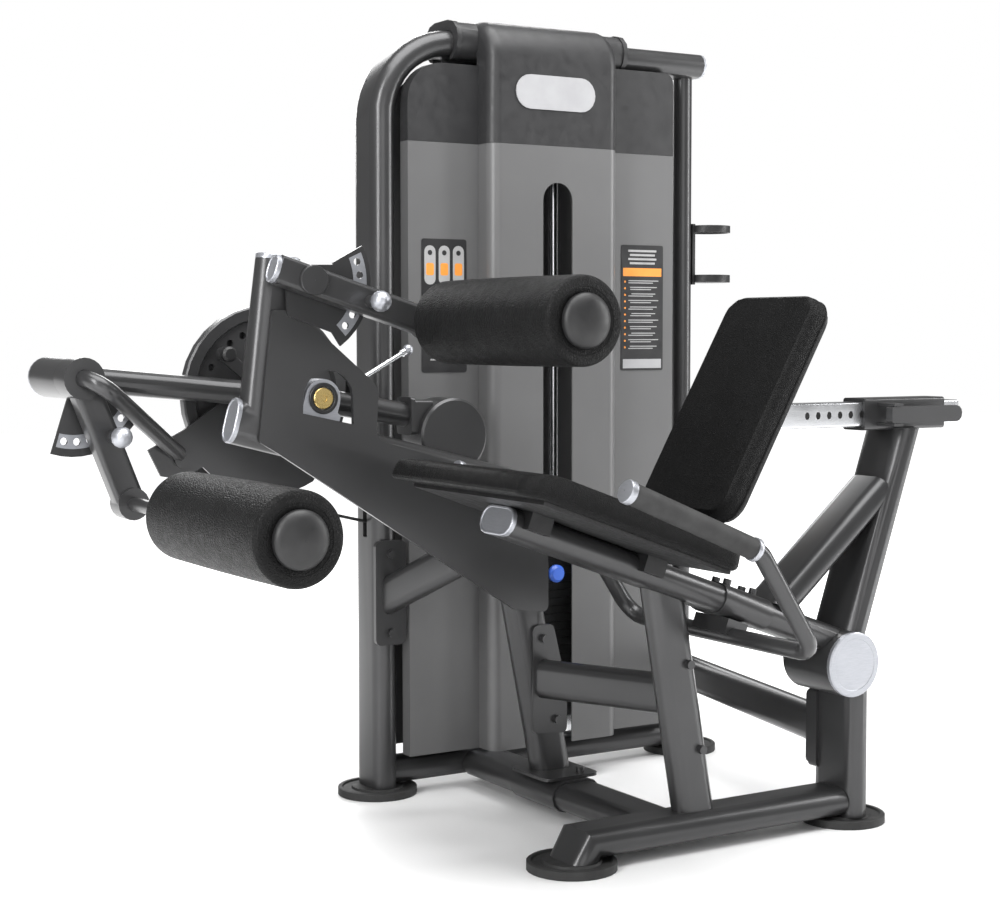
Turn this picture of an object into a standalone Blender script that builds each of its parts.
"""Selectorised leg extension machine: weight tower, seat frame, swinging arm and two roller pads.

X runs fore and aft (the user's feet point to -X), Y runs across (the tower stands at +Y), Z is up.
Every size below is in metres, in a drawing frame whose origin is the floor under the tower's left post.
DRAWING_SHIFT then puts the world origin under the middle of the whole machine.
"""

import math

import bmesh
import bpy
from mathutils import Matrix, Vector

# ---------------------------------------------------------------- driving dimensions
DRAWING_SHIFT = Vector((-0.1051, 0.4202, 0.0))
GAP = 0.0003                    # clearance between touching pieces

SEAT_Y = -0.64                  # the user's centre plane
ARM_FRAME_Y = -0.28             # the plane of the pivot frame
TUBE_THIN = 0.050               # main flat-oval tube, narrow side
TUBE_WIDE = 0.100               # main flat-oval tube, wide side
POST_THIN = 0.045               # smaller flat-oval tube, narrow side
POST_WIDE = 0.080               # smaller flat-oval tube, wide side

TOWER_HEIGHT = 1.500
TOWER_BEND = 0.158              # bend radius of the tower tube's centre line
TOWER_RIGHT_X = 0.745           # the round right-hand post
TOP_TUBE_END_X = 0.766
RIGHT_POST_RADIUS = 0.020
FOOT_HEIGHT = 0.016
FOOT_RADIUS = 0.078
FLOOR_TUBE_Z = 0.044            # centre line of the tubes along the floor

PANEL_Y = -0.060                # front of the side panels
CENTRE_PANEL_Y = -0.110         # front of the raised centre panel
PANEL_BOTTOM = 0.078
BAND_Z = 1.278                  # the panels are darker above this height
SHEET = 0.003                   # panel thickness
CENTRE_LEFT = 0.199
CENTRE_RIGHT = 0.504
SLOT_X = 0.354
SLOT_HALF = 0.035
SLOT_TOP = 1.206

STACK_HALF_X = 0.140
STACK_HALF_Y = 0.055
STACK_BOTTOM = 0.120
PLATE_PITCH = 0.0164
PLATE_COUNT = 20
ROD_OFFSET = 0.060
ROD_RADIUS = 0.010

PIVOT = Vector((-0.262, 0.0, 0.794))        # axis of the swinging arm, along Y
PULLEY_RADIUS = 0.045
CABLE_RADIUS = 0.003
CAM_TRACK_RADIUS = 0.187
LOW_PULLEY = Vector((0.079, 0.0, 0.565))
TOP_PULLEYS = (Vector((0.175, 0.0, 1.360)), Vector((0.306, 0.0, 1.360)))

BEAM_SLOPE = math.radians(20.0)             # the seat beam falls to the rear
BEAM_FRONT = Vector((-0.116, SEAT_Y, 0.603))
HUB = Vector((0.606, SEAT_Y, 0.305))        # the cylinder that ends the seat beam
ARM_BEAM_SLOPE = math.radians(14.5)
ARM_BEAM_FRONT = Vector((-0.428, ARM_FRAME_Y, 0.760))
UPPER_PIVOT = Vector((-0.310, 0.0, 0.997))
UPPER_ROLLER = Vector((-0.080, 0.0, 0.926))
SLEEVE_AXIS = Vector((-0.652, 0.0, 0.831))
LOWER_ROLLER = Vector((-0.567, 0.0, 0.615))
ROLLER_NEAR_Y = -0.845
ROLLER_FAR_Y = -0.425
ROLLER_RADIUS = 0.0715
BAR_Z = 0.7575                              # centre of the backrest's slide bar
BAR_HALF = 0.0225
BAR_HOLE_COUNT = 9
BAR_HOLE_PITCH = 0.026

DARK = ("powder_coat_dark", (0.045, 0.046, 0.050), 0.38, 0.55)
PANEL_GREY = ("panel_grey", (0.105, 0.105, 0.110), 0.45, 0.25)
BAND_DARK = ("band_dark", (0.050, 0.050, 0.053), 0.50, 0.10)
BLACK_PLASTIC = ("black_plastic", (0.020, 0.020, 0.021), 0.50, 0.0)
RUBBER = ("rubber_black", (0.016, 0.016, 0.016), 0.80, 0.0)
VINYL = ("vinyl_black", (0.018, 0.018, 0.019), 0.55, 0.0)
ALUMINIUM = ("aluminium", (0.720, 0.725, 0.740), 0.28, 1.0)
CHROME = ("chrome", (0.800, 0.800, 0.810), 0.08, 1.0)
CAST = ("cast_plates", (0.030, 0.030, 0.031), 0.62, 0.35)
BRASS = ("brass", (0.640, 0.470, 0.190), 0.30, 1.0)
BLUE = ("blue_knob", (0.060, 0.180, 0.620), 0.40, 0.0)
WHITE = ("white_badge", (0.800, 0.800, 0.790), 0.35, 0.0)

X_AXIS = Vector((1.0, 0.0, 0.0))
Y_AXIS = Vector((0.0, 1.0, 0.0))
Z_AXIS = Vector((0.0, 0.0, 1.0))


# ---------------------------------------------------------------- scene helpers
def clear_scene():
    for item in list(bpy.data.objects):
        bpy.data.objects.remove(item, do_unlink=True)


def material(recipe):
    name, colour, roughness, metallic = recipe
    found = bpy.data.materials.get(name)
    if found:
        return found
    made = bpy.data.materials.new(name)
    made.use_nodes = True
    shader = made.node_tree.nodes["Principled BSDF"]
    shader.inputs["Base Color"].default_value = (*colour, 1.0)
    shader.inputs["Roughness"].default_value = roughness
    shader.inputs["Metallic"].default_value = metallic
    made.diffuse_color = (*colour, 1.0)
    return made


def pivot(name, place, parent=None):
    """Empty on a joint's axis; everything that moves with the joint hangs from it."""
    empty = bpy.data.objects.new(name, None)
    empty.empty_display_size = 0.03
    bpy.context.collection.objects.link(empty)
    empty["drawing_place"] = tuple(place)
    empty.parent = parent
    origin = Vector(parent["drawing_place"]) if parent else -DRAWING_SHIFT
    empty.location = Vector(place) - origin
    return empty


def solid(name, mesh_data, owner, recipe, smooth_angle=35.0):
    """Turn a bmesh drawn in the drawing frame into an object hanging from its joint's empty."""
    bmesh.ops.translate(mesh_data, verts=mesh_data.verts, vec=-Vector(owner["drawing_place"]))
    mesh = bpy.data.meshes.new(name)
    mesh_data.to_mesh(mesh)
    mesh_data.free()
    mesh.materials.append(material(recipe))
    mesh.shade_smooth()
    mesh.set_sharp_from_angle(angle=math.radians(smooth_angle))
    item = bpy.data.objects.new(name, mesh)
    bpy.context.collection.objects.link(item)
    item.parent = owner
    return item


def combine(item, shapes, operation):
    """Union or difference of one object with a list of shapes, each kept as a hidden wire guide."""
    for number, shape in enumerate(shapes):
        guide = solid(f"{item.name}_{operation.lower()}_{number}", shape, item.parent, DARK)
        guide.hide_render = True
        guide.display_type = "WIRE"
        step = item.modifiers.new(f"{operation.lower()}_{number}", "BOOLEAN")
        step.operation = operation
        step.solver = "EXACT"
        step.object = guide
    return item


def welded(name, shapes, owner, recipe, cuts=(), smooth_angle=35.0):
    """One solid made of overlapping shapes welded together, less the cuts."""
    item = solid(name, shapes[0], owner, recipe, smooth_angle)
    combine(item, shapes[1:], "UNION")
    first_cut = len(item.modifiers)
    combine(item, cuts, "DIFFERENCE")
    for number, step in enumerate(item.modifiers):
        step.name = f"weld_{number}" if number < first_cut else f"cut_{number}"
    return item


# ---------------------------------------------------------------- outlines
def arc(centre_u, centre_v, radius, start, end, steps):
    """Points on an arc; angles in degrees."""
    points = []
    for number in range(steps + 1):
        angle = math.radians(start + (end - start) * number / steps)
        points.append((centre_u + radius * math.cos(angle), centre_v + radius * math.sin(angle)))
    return points


def circle(radius, steps=16):
    return arc(0.0, 0.0, radius, 0.0, 360.0 * (steps - 1) / steps, steps - 1)


def flat_oval(wide, thin, steps=6):
    """Tube outline with half-round ends, wide along u."""
    reach = (wide - thin) / 2
    right = arc(reach, 0.0, thin / 2, -90.0, 90.0, steps)
    left = arc(-reach, 0.0, thin / 2, 90.0, 270.0, steps)
    return right + left


def box_outline(wide, tall, corner=0.0, steps=3):
    """Rectangle centred on the origin, with round corners if asked."""
    half_w = wide / 2
    half_t = tall / 2
    if corner <= 0.0:
        return [(-half_w, -half_t), (half_w, -half_t), (half_w, half_t), (-half_w, half_t)]
    in_w = half_w - corner
    in_t = half_t - corner
    return (arc(in_w, -in_t, corner, -90.0, 0.0, steps) + arc(in_w, in_t, corner, 0.0, 90.0, steps)
            + arc(-in_w, in_t, corner, 90.0, 180.0, steps)
            + arc(-in_w, -in_t, corner, 180.0, 270.0, steps))


def rounded(corners, steps=4):
    """Polygon from (u, v, radius) corners, each rounded by its own radius."""
    points = []
    count = len(corners)
    for number in range(count):
        here = Vector(corners[number][:2])
        radius = corners[number][2]
        before = Vector(corners[number - 1][:2]) - here
        after = Vector(corners[(number + 1) % count][:2]) - here
        if radius <= 0.0:
            points.append(tuple(here))
            continue
        before.normalize()
        after.normalize()
        half = before.angle(after) / 2
        reach = radius / math.tan(half)
        middle = (before + after).normalized()
        centre = here + middle * (radius / math.sin(half))
        first = here + before * reach - centre
        turn = first.angle_signed(here + after * reach - centre)
        for step in range(steps + 1):
            angle = -turn * step / steps
            spoke = Vector((first.x * math.cos(angle) - first.y * math.sin(angle),
                            first.x * math.sin(angle) + first.y * math.cos(angle)))
            points.append(tuple(centre + spoke))
    return points


def shifted(outline, u, v):
    return [(a + u, b + v) for a, b in outline]


def turned_by(outline, angle):
    cos_a = math.cos(angle)
    sin_a = math.sin(angle)
    return [(a * cos_a - b * sin_a, a * sin_a + b * cos_a) for a, b in outline]


# ---------------------------------------------------------------- solids
def skin(rings, capped=True):
    """Closed bmesh over a stack of equal rings of points."""
    shape = bmesh.new()
    loops = [[shape.verts.new(point) for point in ring] for ring in rings]
    size = len(loops[0])
    if not capped:
        loops.append(loops[0])
    for lower, upper in zip(loops, loops[1:]):
        for number in range(size):
            following = (number + 1) % size
            shape.faces.new((lower[number], lower[following], upper[following], upper[number]))
    if capped:
        shape.faces.new(list(reversed(loops[0])))
        shape.faces.new(loops[-1])
    bmesh.ops.recalc_face_normals(shape, faces=shape.faces)
    return shape


def extrude(outline, axis, low, high):
    """Outline drawn across the axis: (x, y) for Z, (x, z) for Y, (y, z) for X."""
    place = {"Z": lambda a, b, h: (a, b, h), "Y": lambda a, b, h: (a, h, b), "X": lambda a, b, h: (h, a, b)}[axis]
    return skin([[place(a, b, low) for a, b in outline], [place(a, b, high) for a, b in outline]])


def block(low, high):
    return extrude([(low[0], low[1]), (high[0], low[1]), (high[0], high[1]), (low[0], high[1])],
                   "Z", low[2], high[2])


def sweep(path, outline, wide_direction, start_normal=None, end_normal=None):
    """Tube along a path; bends are mitred, and the end faces can be cut on a slant."""
    points = [Vector(point) for point in path]
    runs = [(b - a).normalized() for a, b in zip(points, points[1:])]
    wide = Vector(wide_direction)
    wide = (wide - runs[0] * wide.dot(runs[0])).normalized()
    rings = []
    for number, point in enumerate(points):
        run = runs[max(number - 1, 0)]
        if number >= 2:
            wide = runs[number - 2].rotation_difference(run) @ wide
        thin = run.cross(wide)
        if number == 0:
            normal = Vector(start_normal) if start_normal else run
        elif number == len(points) - 1:
            normal = Vector(end_normal) if end_normal else run
        else:
            normal = (runs[number - 1] + runs[number]).normalized()
        ring = []
        for a, b in outline:
            offset = wide * a + thin * b
            ring.append(point + offset - run * (offset.dot(normal) / run.dot(normal)))
        rings.append(ring)
    return skin(rings)


def tube_between(start, end, outline, wide_direction, start_normal=None, end_normal=None):
    return sweep([start, end], outline, wide_direction, start_normal, end_normal)


def bent(corners, radius, steps=6):
    """Path through corners with each inner corner replaced by an arc."""
    places = [Vector(corner) for corner in corners]
    path = [places[0]]
    for before, here, after in zip(places, places[1:], places[2:]):
        back = (before - here).normalized()
        ahead = (after - here).normalized()
        half = back.angle(ahead) / 2
        reach = radius / math.tan(half)
        centre = here + (back + ahead).normalized() * (radius / math.sin(half))
        first = here + back * reach - centre
        axis = first.cross(here + ahead * reach - centre).normalized()
        sweep_angle = math.pi - 2 * half
        for step in range(steps + 1):
            path.append(centre + Matrix.Rotation(sweep_angle * step / steps, 3, axis) @ first)
    path.append(places[-1])
    return path


def turned(profile, centre, axis=Y_AXIS, steps=24, ring=False):
    """Turned solid from (radius, height) points along the axis; a ring profile is a closed loop."""
    axis = Vector(axis).normalized()
    side = X_AXIS if abs(axis.x) < 0.9 else Z_AXIS
    side = (side - axis * side.dot(axis)).normalized()
    other = axis.cross(side)
    rings = []
    for radius, height in profile:
        ring_points = []
        for number in range(steps):
            angle = 2 * math.pi * number / steps
            spoke = side * math.cos(angle) + other * math.sin(angle)
            ring_points.append(Vector(centre) + axis * height + spoke * radius)
        rings.append(ring_points)
    return skin(rings, capped=not ring)


def disc(centre, radius, low, high, axis=Y_AXIS, steps=24, edge=0.0):
    """Cylinder with a small chamfer at both ends if asked."""
    if edge > 0.0:
        profile = [(radius - edge, low), (radius, low + edge), (radius, high - edge), (radius - edge, high)]
    else:
        profile = [(radius, low), (radius, high)]
    return turned(profile, centre, axis, steps)


def washer(centre, inner, outer, low, high, axis=Y_AXIS, steps=24):
    profile = [(outer, low), (outer, high), (inner, high), (inner, low)]
    return turned(profile, centre, axis, steps, ring=True)


def at(point, y):
    """The same X and Z at another Y."""
    return Vector((point[0], y, point[2]))


# ---------------------------------------------------------------- weight tower
def inset(outline, distance):
    """Outline moved inwards; the outline runs anticlockwise."""
    points = [Vector(point) for point in outline]
    moved = []
    for number, here in enumerate(points):
        back = (here - points[number - 1]).normalized()
        ahead = (points[(number + 1) % len(points)] - here).normalized()
        inward = (Vector((-back.y, back.x)) + Vector((-ahead.y, ahead.x))).normalized()
        stretch = max(0.35, inward.dot(Vector((-back.y, back.x))))
        moved.append(tuple(here + inward * (distance / stretch)))
    return moved


def tray(outline, front, back, sheet=SHEET):
    """Sheet panel across Y with a rim folded back all round."""
    floor_y = front + math.copysign(sheet, back - front)
    inner = inset(outline, sheet)
    rings = [[(x, front, z) for x, z in outline], [(x, back, z) for x, z in outline],
             [(x, back, z) for x, z in inner], [(x, floor_y, z) for x, z in inner]]
    return skin(rings)


def channel_outline(half_width, depth, corner, sheet=SHEET, steps=5):
    """Section of a folded front panel: a wide face with round edges and two cheeks."""
    inner_corner = corner - sheet
    in_w = half_width - corner
    outer = ([(-half_width, depth)] + arc(-in_w, corner, corner, 180.0, 270.0, steps)
             + arc(in_w, corner, corner, 270.0, 360.0, steps) + [(half_width, depth)])
    inner = ([(half_width - sheet, depth)] + arc(in_w, corner, inner_corner, 360.0, 270.0, steps)
             + arc(-in_w, corner, inner_corner, 270.0, 180.0, steps) + [(-half_width + sheet, depth)])
    return outer + inner


def post_slot():
    """Slot through the left post that the drive cable runs in."""
    return block((-0.040, -0.008, 0.510), (0.040, 0.008, 0.580))


def tower_frame(owner):
    top_z = TOWER_HEIGHT - TUBE_THIN / 2
    main_path = bent([(0, 0, FOOT_HEIGHT + GAP), (0, 0, top_z), (TOP_TUBE_END_X, 0, top_z)], TOWER_BEND, 10)
    main = sweep(main_path, flat_oval(TUBE_WIDE, TUBE_THIN), Y_AXIS)
    right = disc((TOWER_RIGHT_X, 0, 0), RIGHT_POST_RADIUS, FOOT_HEIGHT + GAP, top_z - 0.010, Z_AXIS, 18)
    floor = tube_between((0.0, 0, FLOOR_TUBE_Z), (TOWER_RIGHT_X + 0.030, 0, FLOOR_TUBE_Z),
                         flat_oval(POST_WIDE, TUBE_THIN), Y_AXIS)
    shapes = [main, right, floor]
    for side in (-1, 1):
        shapes.append(block((0.015, side * 0.0165 - 0.0025, LOW_PULLEY.z - 0.016),
                            (LOW_PULLEY.x + 0.016, side * 0.0165 + 0.0025, LOW_PULLEY.z + 0.016)))
    shapes.append(disc(at(LOW_PULLEY, 0.0), 0.006, -0.0205, 0.0205, steps=16))
    welded("tower_frame", shapes, owner, DARK, [post_slot()])
    cap_start = TOP_TUBE_END_X + GAP
    cap = sweep([(cap_start, 0, top_z), (cap_start + 0.005, 0, top_z), (cap_start + 0.0051, 0, top_z)],
                flat_oval(TUBE_WIDE, TUBE_THIN), Y_AXIS)
    solid("top_tube_cap", cap, owner, ALUMINIUM)


def shroud(owner):
    """Sheet covers: side panels, slotted centre panel, the dark hood over the top tube and the back."""
    rim_y = -0.030
    lower = (PANEL_BOTTOM, BAND_Z - GAP)
    left = (0.041, CENTRE_LEFT - GAP)
    right = (CENTRE_RIGHT + GAP, 0.676)
    for name, span in (("shroud_left", left), ("shroud_right", right)):
        outline = [(span[0], lower[0]), (span[1], lower[0]), (span[1], lower[1]), (span[0], lower[1])]
        solid(name, tray(outline, PANEL_Y, rim_y), owner, PANEL_GREY)

    half = (CENTRE_RIGHT - CENTRE_LEFT) / 2
    middle = (CENTRE_RIGHT + CENTRE_LEFT) / 2
    depth = PANEL_Y + 1.5 * SHEET - CENTRE_PANEL_Y
    section = channel_outline(half, depth, 0.024)
    centre = extrude(shifted(section, middle, CENTRE_PANEL_Y), "Z", *lower)
    slot = [(SLOT_X - SLOT_HALF, PANEL_BOTTOM - 0.02), (SLOT_X + SLOT_HALF, PANEL_BOTTOM - 0.02)]
    slot += arc(SLOT_X, SLOT_TOP - SLOT_HALF, SLOT_HALF, 0.0, 180.0, 12)
    welded("shroud_centre", [centre], owner, PANEL_GREY,
           [extrude(slot, "Y", CENTRE_PANEL_Y - 0.02, CENTRE_PANEL_Y + 0.02)])

    top_z = TOWER_HEIGHT - TUBE_THIN / 2
    hood_top = 1.521
    hood_radius = 0.075
    hood_path = bent([(middle, CENTRE_PANEL_Y, BAND_Z), (middle, CENTRE_PANEL_Y, hood_top),
                      (middle, 0.020, hood_top)], hood_radius, 6)
    hood = sweep(hood_path, section, X_AXIS)
    saddle = extrude(shifted(flat_oval(0.126, 0.076), 0.0, hood_top - 0.040), "X", 0.152, 0.554)
    collar_left = extrude(shifted(flat_oval(0.132, 0.080), 0.0, hood_top - 0.040), "X", 0.150, 0.160)
    collar_right = extrude(shifted(flat_oval(0.132, 0.080), 0.0, hood_top - 0.040), "X", 0.546, 0.556)
    left_top = rounded([(left[0], BAND_Z, 0), (CENTRE_LEFT + 0.002, BAND_Z, 0), (CENTRE_LEFT + 0.002,
                                                                                 1.431, 0),
                        (left[0], 1.431, 0.078)], 8)
    right_top = rounded([(CENTRE_RIGHT - 0.002, BAND_Z, 0), (right[1], BAND_Z, 0), (right[1], 1.4490,
                                                                                    0.022),
                         (CENTRE_RIGHT - 0.002, 1.4490, 0)], 5)
    shapes = [saddle, collar_left, collar_right, hood, tray(left_top, PANEL_Y, rim_y),
              tray(right_top, PANEL_Y, rim_y)]
    tube_room = extrude(shifted(flat_oval(TUBE_WIDE + 0.0012, TUBE_THIN + 0.0012), 0.0, top_z), "X", 0.10,
                        0.65)
    bend_room = sweep(bent([(0, 0, 1.2), (0, 0, top_z), (0.175, 0, top_z)], TOWER_BEND, 10),
                      flat_oval(TUBE_WIDE + 0.0020, TUBE_THIN + 0.0020), Y_AXIS)
    open_below = block((0.10, -0.034, 1.400), (0.65, 0.034, 1.462))
    welded("shroud_hood", shapes, owner, BAND_DARK, [tube_room, bend_room, open_below])

    back = [(0.041, PANEL_BOTTOM), (0.676, PANEL_BOTTOM), (0.676, 1.425), (0.041 + 0.078, 1.425), (0.041, 1.347)]
    solid("shroud_back", tray(back, 0.068, 0.0585), owner, PANEL_GREY)

    badge = shifted(flat_oval(0.187, 0.067, 10), 0.3485, 1.3815)
    solid("badge_plate", extrude(badge, "Y", CENTRE_PANEL_Y - GAP - 0.002, CENTRE_PANEL_Y - GAP), owner,
          WHITE)


def cup_holder(owner):
    centre_x = TOWER_RIGHT_X + RIGHT_POST_RADIUS + 0.051
    centre = (centre_x, 0, 0)
    strap = block((TOWER_RIGHT_X + RIGHT_POST_RADIUS + GAP, -0.012, 1.012), (centre_x - 0.0435, 0.012,
                                                                             1.142))
    upper = washer(centre, 0.044, 0.048, 1.124, 1.139, Z_AXIS, 18)
    cup = turned([(0.048, 1.017), (0.048, 1.033), (0.044, 1.033), (0.044, 1.021)], centre, Z_AXIS, 18)
    welded("cup_holder", [strap, upper, cup], owner, BLACK_PLASTIC)


def feet(owner):
    profile = [(FOOT_RADIUS, 0.0), (FOOT_RADIUS, FOOT_HEIGHT - 0.002), (FOOT_RADIUS - 0.002,
                                                                        FOOT_HEIGHT - 0.0005),
               (FOOT_RADIUS - 0.008, FOOT_HEIGHT - 0.0005), (FOOT_RADIUS - 0.010, FOOT_HEIGHT - 0.004)]
    profile += [(FOOT_RADIUS - 0.026, FOOT_HEIGHT - 0.004), (FOOT_RADIUS - 0.028, FOOT_HEIGHT)]
    places = {"foot_tower_left": (0, 0, 0), "foot_tower_right": (TOWER_RIGHT_X, 0, 0),
              "foot_seat_front": (0.034, SEAT_Y, 0), "foot_seat_rear": (0.642, SEAT_Y, 0)}
    for name, place in places.items():
        solid(name, turned(profile, place, Z_AXIS, 28), owner, RUBBER)


def notched_block(half_x, half_y, centre_x, edges):
    """Stack of plates in one piece; a fine groove runs round the long faces at each joint."""
    groove = 0.0012
    depth = 0.0020
    right = [(half_y, edges[0])]
    for edge in edges[1:-1]:
        right += [(half_y, edge - groove / 2), (half_y - depth, edge), (half_y, edge + groove / 2)]
    right.append((half_y, edges[-1]))
    left = [(-y, z) for y, z in reversed(right)]
    return extrude(right + left, "X", centre_x - half_x, centre_x + half_x)


def weights(owner, carriage):
    lift_plates = 2
    still_edges = [STACK_BOTTOM + PLATE_PITCH * number for number in range(PLATE_COUNT - lift_plates + 1)]
    pin_z = still_edges[-1] + PLATE_PITCH / 2
    holes = [disc((SLOT_X + side * ROD_OFFSET, 0, 0), ROD_RADIUS + 0.001, 0.05, 0.60, Z_AXIS, 16)
             for side in (-1, 1)]
    holes.append(disc((SLOT_X, 0, 0), 0.0145, 0.05, 0.60, Z_AXIS, 16))
    still = notched_block(STACK_HALF_X, STACK_HALF_Y, SLOT_X, still_edges)
    welded("weight_stack", [still], owner, CAST, holes)

    base = still_edges[-1] + GAP
    edges = [base, base + PLATE_PITCH, base + 2 * PLATE_PITCH, base + 2 * PLATE_PITCH + 0.028]
    top = notched_block(STACK_HALF_X, STACK_HALF_Y, SLOT_X, edges)
    stem = disc((SLOT_X, 0, 0), 0.0130, STACK_BOTTOM + 0.010, edges[-1] + 0.012, Z_AXIS, 16)
    cable_bore = disc((SLOT_X, 0, 0), 0.0060, STACK_BOTTOM + 0.095, edges[-1] + 0.02, Z_AXIS, 12)
    pin_bore = disc((SLOT_X, 0, pin_z), 0.0050, -0.10, 0.0, Y_AXIS, 12)
    rod_holes = [disc((SLOT_X + side * ROD_OFFSET, 0, 0), ROD_RADIUS + 0.001, 0.30, 0.60, Z_AXIS, 16)
                 for side in (-1, 1)]
    welded("weight_carriage", [top, stem], carriage, CAST, [*rod_holes, cable_bore, pin_bore])

    selector = pivot("selector_axis", (SLOT_X, 0, pin_z), carriage)
    pin = turned([(0.0042, 0.0), (0.0042, -0.082), (0.0120, -0.086), (0.0180, -0.094), (0.0180, -0.100),
                  (0.0130, -0.106)], (SLOT_X, -0.0075, pin_z), Y_AXIS, 20)
    solid("selector_pin", pin, selector, BLUE)
    return pin_z


def pulley(name, centre, owner):
    groove = PULLEY_RADIUS - 0.0018
    rim = PULLEY_RADIUS + 0.005
    profile = [(rim, -0.009), (rim, -0.0065), (groove, -0.0042), (groove, 0.0042), (rim, 0.0065), (rim, 0.009),
               (0.0066, 0.009), (0.0066, -0.009)]
    axis = pivot(name + "_axis", centre, owner)
    solid(name, turned(profile, centre, Y_AXIS, 20, ring=True), axis, BLACK_PLASTIC)


def guide_frame(owner):
    """Guide rods between a lower and an upper crossbar, and the plate that carries the top pulleys."""
    top_z = TOWER_HEIGHT - TUBE_THIN
    shapes = [block((SLOT_X - 0.140, -0.030, 0.092), (SLOT_X + 0.140, 0.030, STACK_BOTTOM - GAP))]
    for side in (-1, 1):
        foot_x = SLOT_X + side * 0.120
        shapes.append(block((foot_x - 0.010, -0.020, FLOOR_TUBE_Z + TUBE_THIN / 2 + GAP),
                            (foot_x + 0.010, 0.020, 0.100)))
        shapes.append(disc((SLOT_X + side * ROD_OFFSET, 0, 0), ROD_RADIUS, 0.100, 1.280, Z_AXIS, 16))
    shapes.append(block((SLOT_X - 0.080, -0.020, 1.270), (SLOT_X + 0.080, 0.0240, 1.290)))
    shapes.append(block((0.162, 0.0175, 1.275), (SLOT_X + 0.080, 0.0235, top_z - 2 * GAP)))
    for centre in TOP_PULLEYS:
        shapes.append(disc(centre, 0.006, -0.014, 0.0205, steps=12))
        shapes.append(disc(centre, 0.010, 0.0095, 0.0190, steps=12))
    cable_room = disc((SLOT_X, 0, 0), 0.008, 1.25, 1.31, Z_AXIS, 12)
    welded("guide_frame", shapes, owner, CHROME, [cable_room])


def cable_points():
    """Centre line of the drive cable: round the cam, through the post and over the pulleys."""
    cam_r = CAM_TRACK_RADIUS + CABLE_RADIUS
    wheel_r = PULLEY_RADIUS + CABLE_RADIUS
    slope = math.radians(13.5)
    start_angle = -118.0
    leave_angle = -90.0 - math.degrees(slope)
    points = [(PIVOT.x + x, 0.0, PIVOT.z + z) for x, z in arc(0, 0, cam_r, start_angle, leave_angle, 3)]
    points += [(LOW_PULLEY.x + x, 0.0, LOW_PULLEY.z + z) for x, z in arc(0, 0, wheel_r, leave_angle, 0.0,
                                                                         12)]
    first, second = TOP_PULLEYS
    points += [(first.x + x, 0.0, first.z + z) for x, z in arc(0, 0, wheel_r, 180.0, 90.0, 8)]
    points += [(second.x + x, 0.0, second.z + z) for x, z in arc(0, 0, wheel_r, 90.0, 0.0, 8)]
    points.append((SLOT_X, 0.0, 0.468))
    return points


def drive_cable(owner):
    points = cable_points()
    line = bpy.data.curves.new("drive_cable", "CURVE")
    line.dimensions = "3D"
    line.bevel_depth = CABLE_RADIUS
    line.bevel_resolution = 2
    line.use_fill_caps = True
    run = line.splines.new("POLY")
    run.points.add(len(points) - 1)
    for spot, point in zip(run.points, points):
        place = Vector(point) - Vector(owner["drawing_place"])
        spot.co = (*place, 1.0)
    line.materials.append(material(BLACK_PLASTIC))
    item = bpy.data.objects.new("drive_cable", line)
    bpy.context.collection.objects.link(item)
    item.parent = owner


# ---------------------------------------------------------------- seat frame
REAR_TUBE_WIDE = 0.115
CAP_THICKNESS = 0.009
BEAM_DIRECTION = Vector((math.cos(BEAM_SLOPE), 0.0, -math.sin(BEAM_SLOPE)))
BEAM_UP = Vector((math.sin(BEAM_SLOPE), 0.0, math.cos(BEAM_SLOPE)))
ARM_BEAM_DIRECTION = Vector((math.cos(ARM_BEAM_SLOPE), 0.0, -math.sin(ARM_BEAM_SLOPE)))
COLLAR_RISE = 0.003
HANDLE_CROSS = Vector((0.344, SEAT_Y, 0.376))
LOCK_PIN_X = 0.762
LOCK_PIVOT_X = 0.700
LEVER_Y = -0.706
LEVER_END_X = 0.862


def merged(shapes):
    """Several separate shapes as one guide, for unions and cuts."""
    together = bmesh.new()
    for shape in shapes:
        mesh = bpy.data.meshes.new("merged")
        shape.to_mesh(mesh)
        shape.free()
        together.from_mesh(mesh)
        bpy.data.meshes.remove(mesh)
    return together


def bolt(place, radius, reach, axis=-Y_AXIS):
    """Round bolt head standing off a face; it starts a little inside the part it is fused to."""
    return disc(place, radius, -0.002, reach, axis, 12)


def end_cap(name, place, direction, wide_direction, wide, thin, owner):
    """Plug over a tube's end: a flat-oval plate with a stepped rim."""
    rim = 0.004
    profile = [(0.0, GAP), (0.0, CAP_THICKNESS - 0.0015), (0.0015, CAP_THICKNESS), (rim, CAP_THICKNESS),
               (rim + 0.001, CAP_THICKNESS - 0.0012)]
    run = Vector(direction).normalized()
    across = Vector(wide_direction)
    across = (across - run * across.dot(run)).normalized()
    other = run.cross(across)
    rings = []
    for step_in, height in profile:
        outline = flat_oval(wide - 2 * step_in, thin - 2 * step_in)
        rings.append([Vector(place) + run * height + across * a + other * b for a, b in outline])
    solid(name, skin(rings), owner, ALUMINIUM)


def line_x(z, x_low, z_low, x_high, z_high):
    """X at a height on the straight line through two points."""
    return x_low + (x_high - x_low) * (z - z_low) / (z_high - z_low)


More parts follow.
